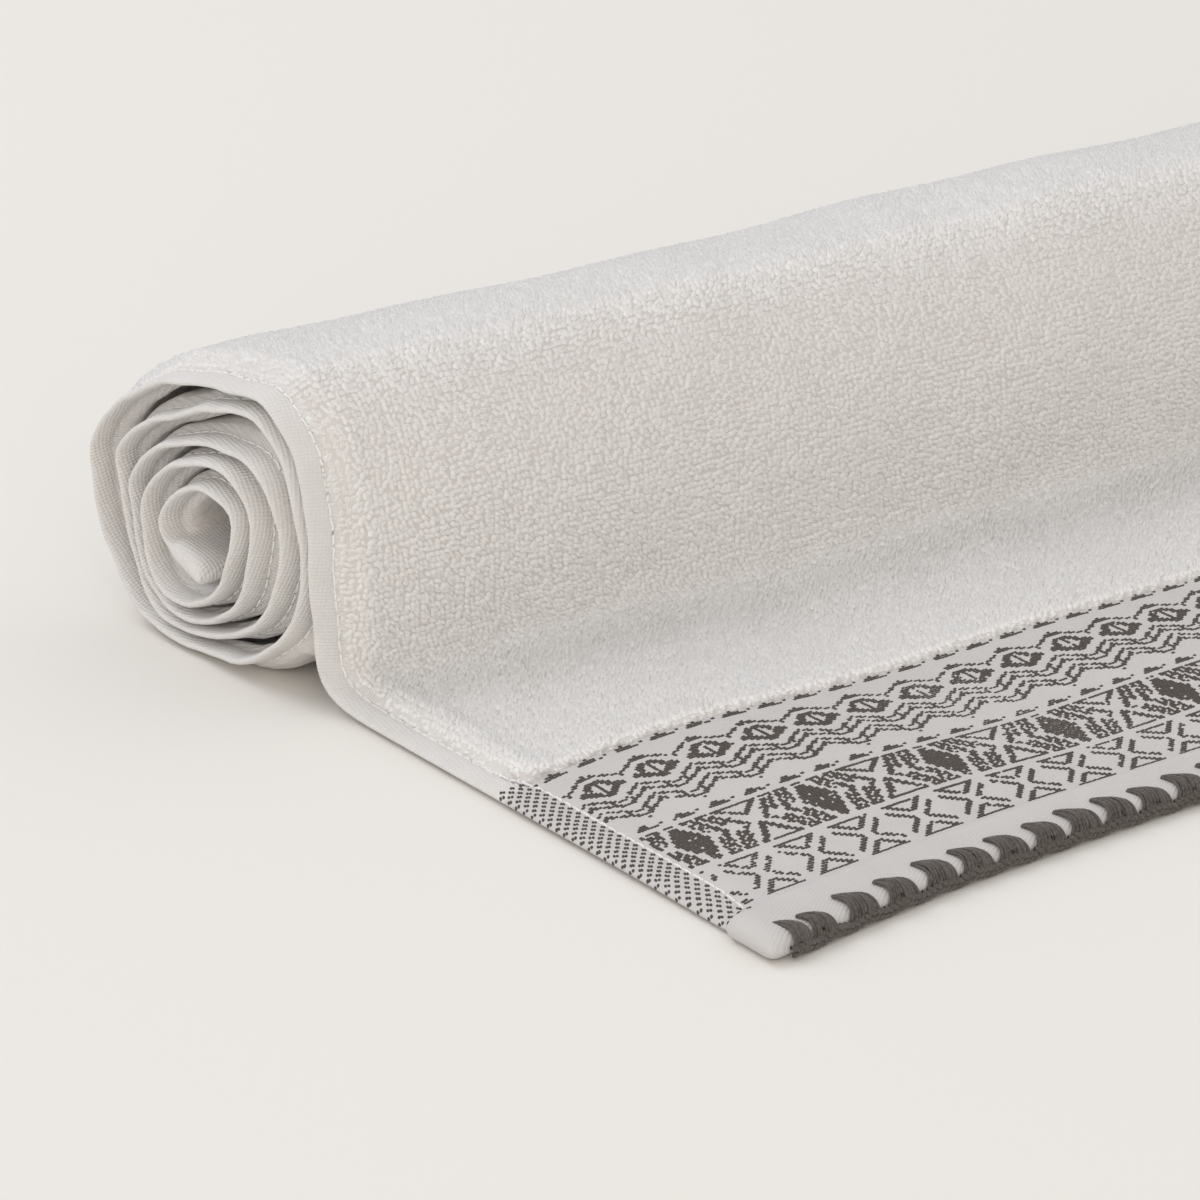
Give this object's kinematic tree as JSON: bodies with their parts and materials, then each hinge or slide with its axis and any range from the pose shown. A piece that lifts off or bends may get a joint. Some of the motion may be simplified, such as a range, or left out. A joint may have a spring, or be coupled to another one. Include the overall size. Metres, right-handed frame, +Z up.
{
  "type": "rolled face towel",
  "caption": "White terry face towel rolled up, its patterned band and dark scalloped edge pulled out flat in front of the roll.",
  "frame": {"origin": "middle of the footprint, on the floor", "axes": "+X along the roll, +Y from the loose end towards the roll, +Z up"},
  "size_m": [0.5084, 0.2258, 0.0672],
  "materials": {
    "white_terry": "looped cotton pile, matt",
    "charcoal_yarn": "crocheted cotton yarn, matt"
  },
  "bodies": {
    "root": {"towel_cloth": "white_terry", "scalloped_edging": "charcoal_yarn"}
  },
  "joints": []
}
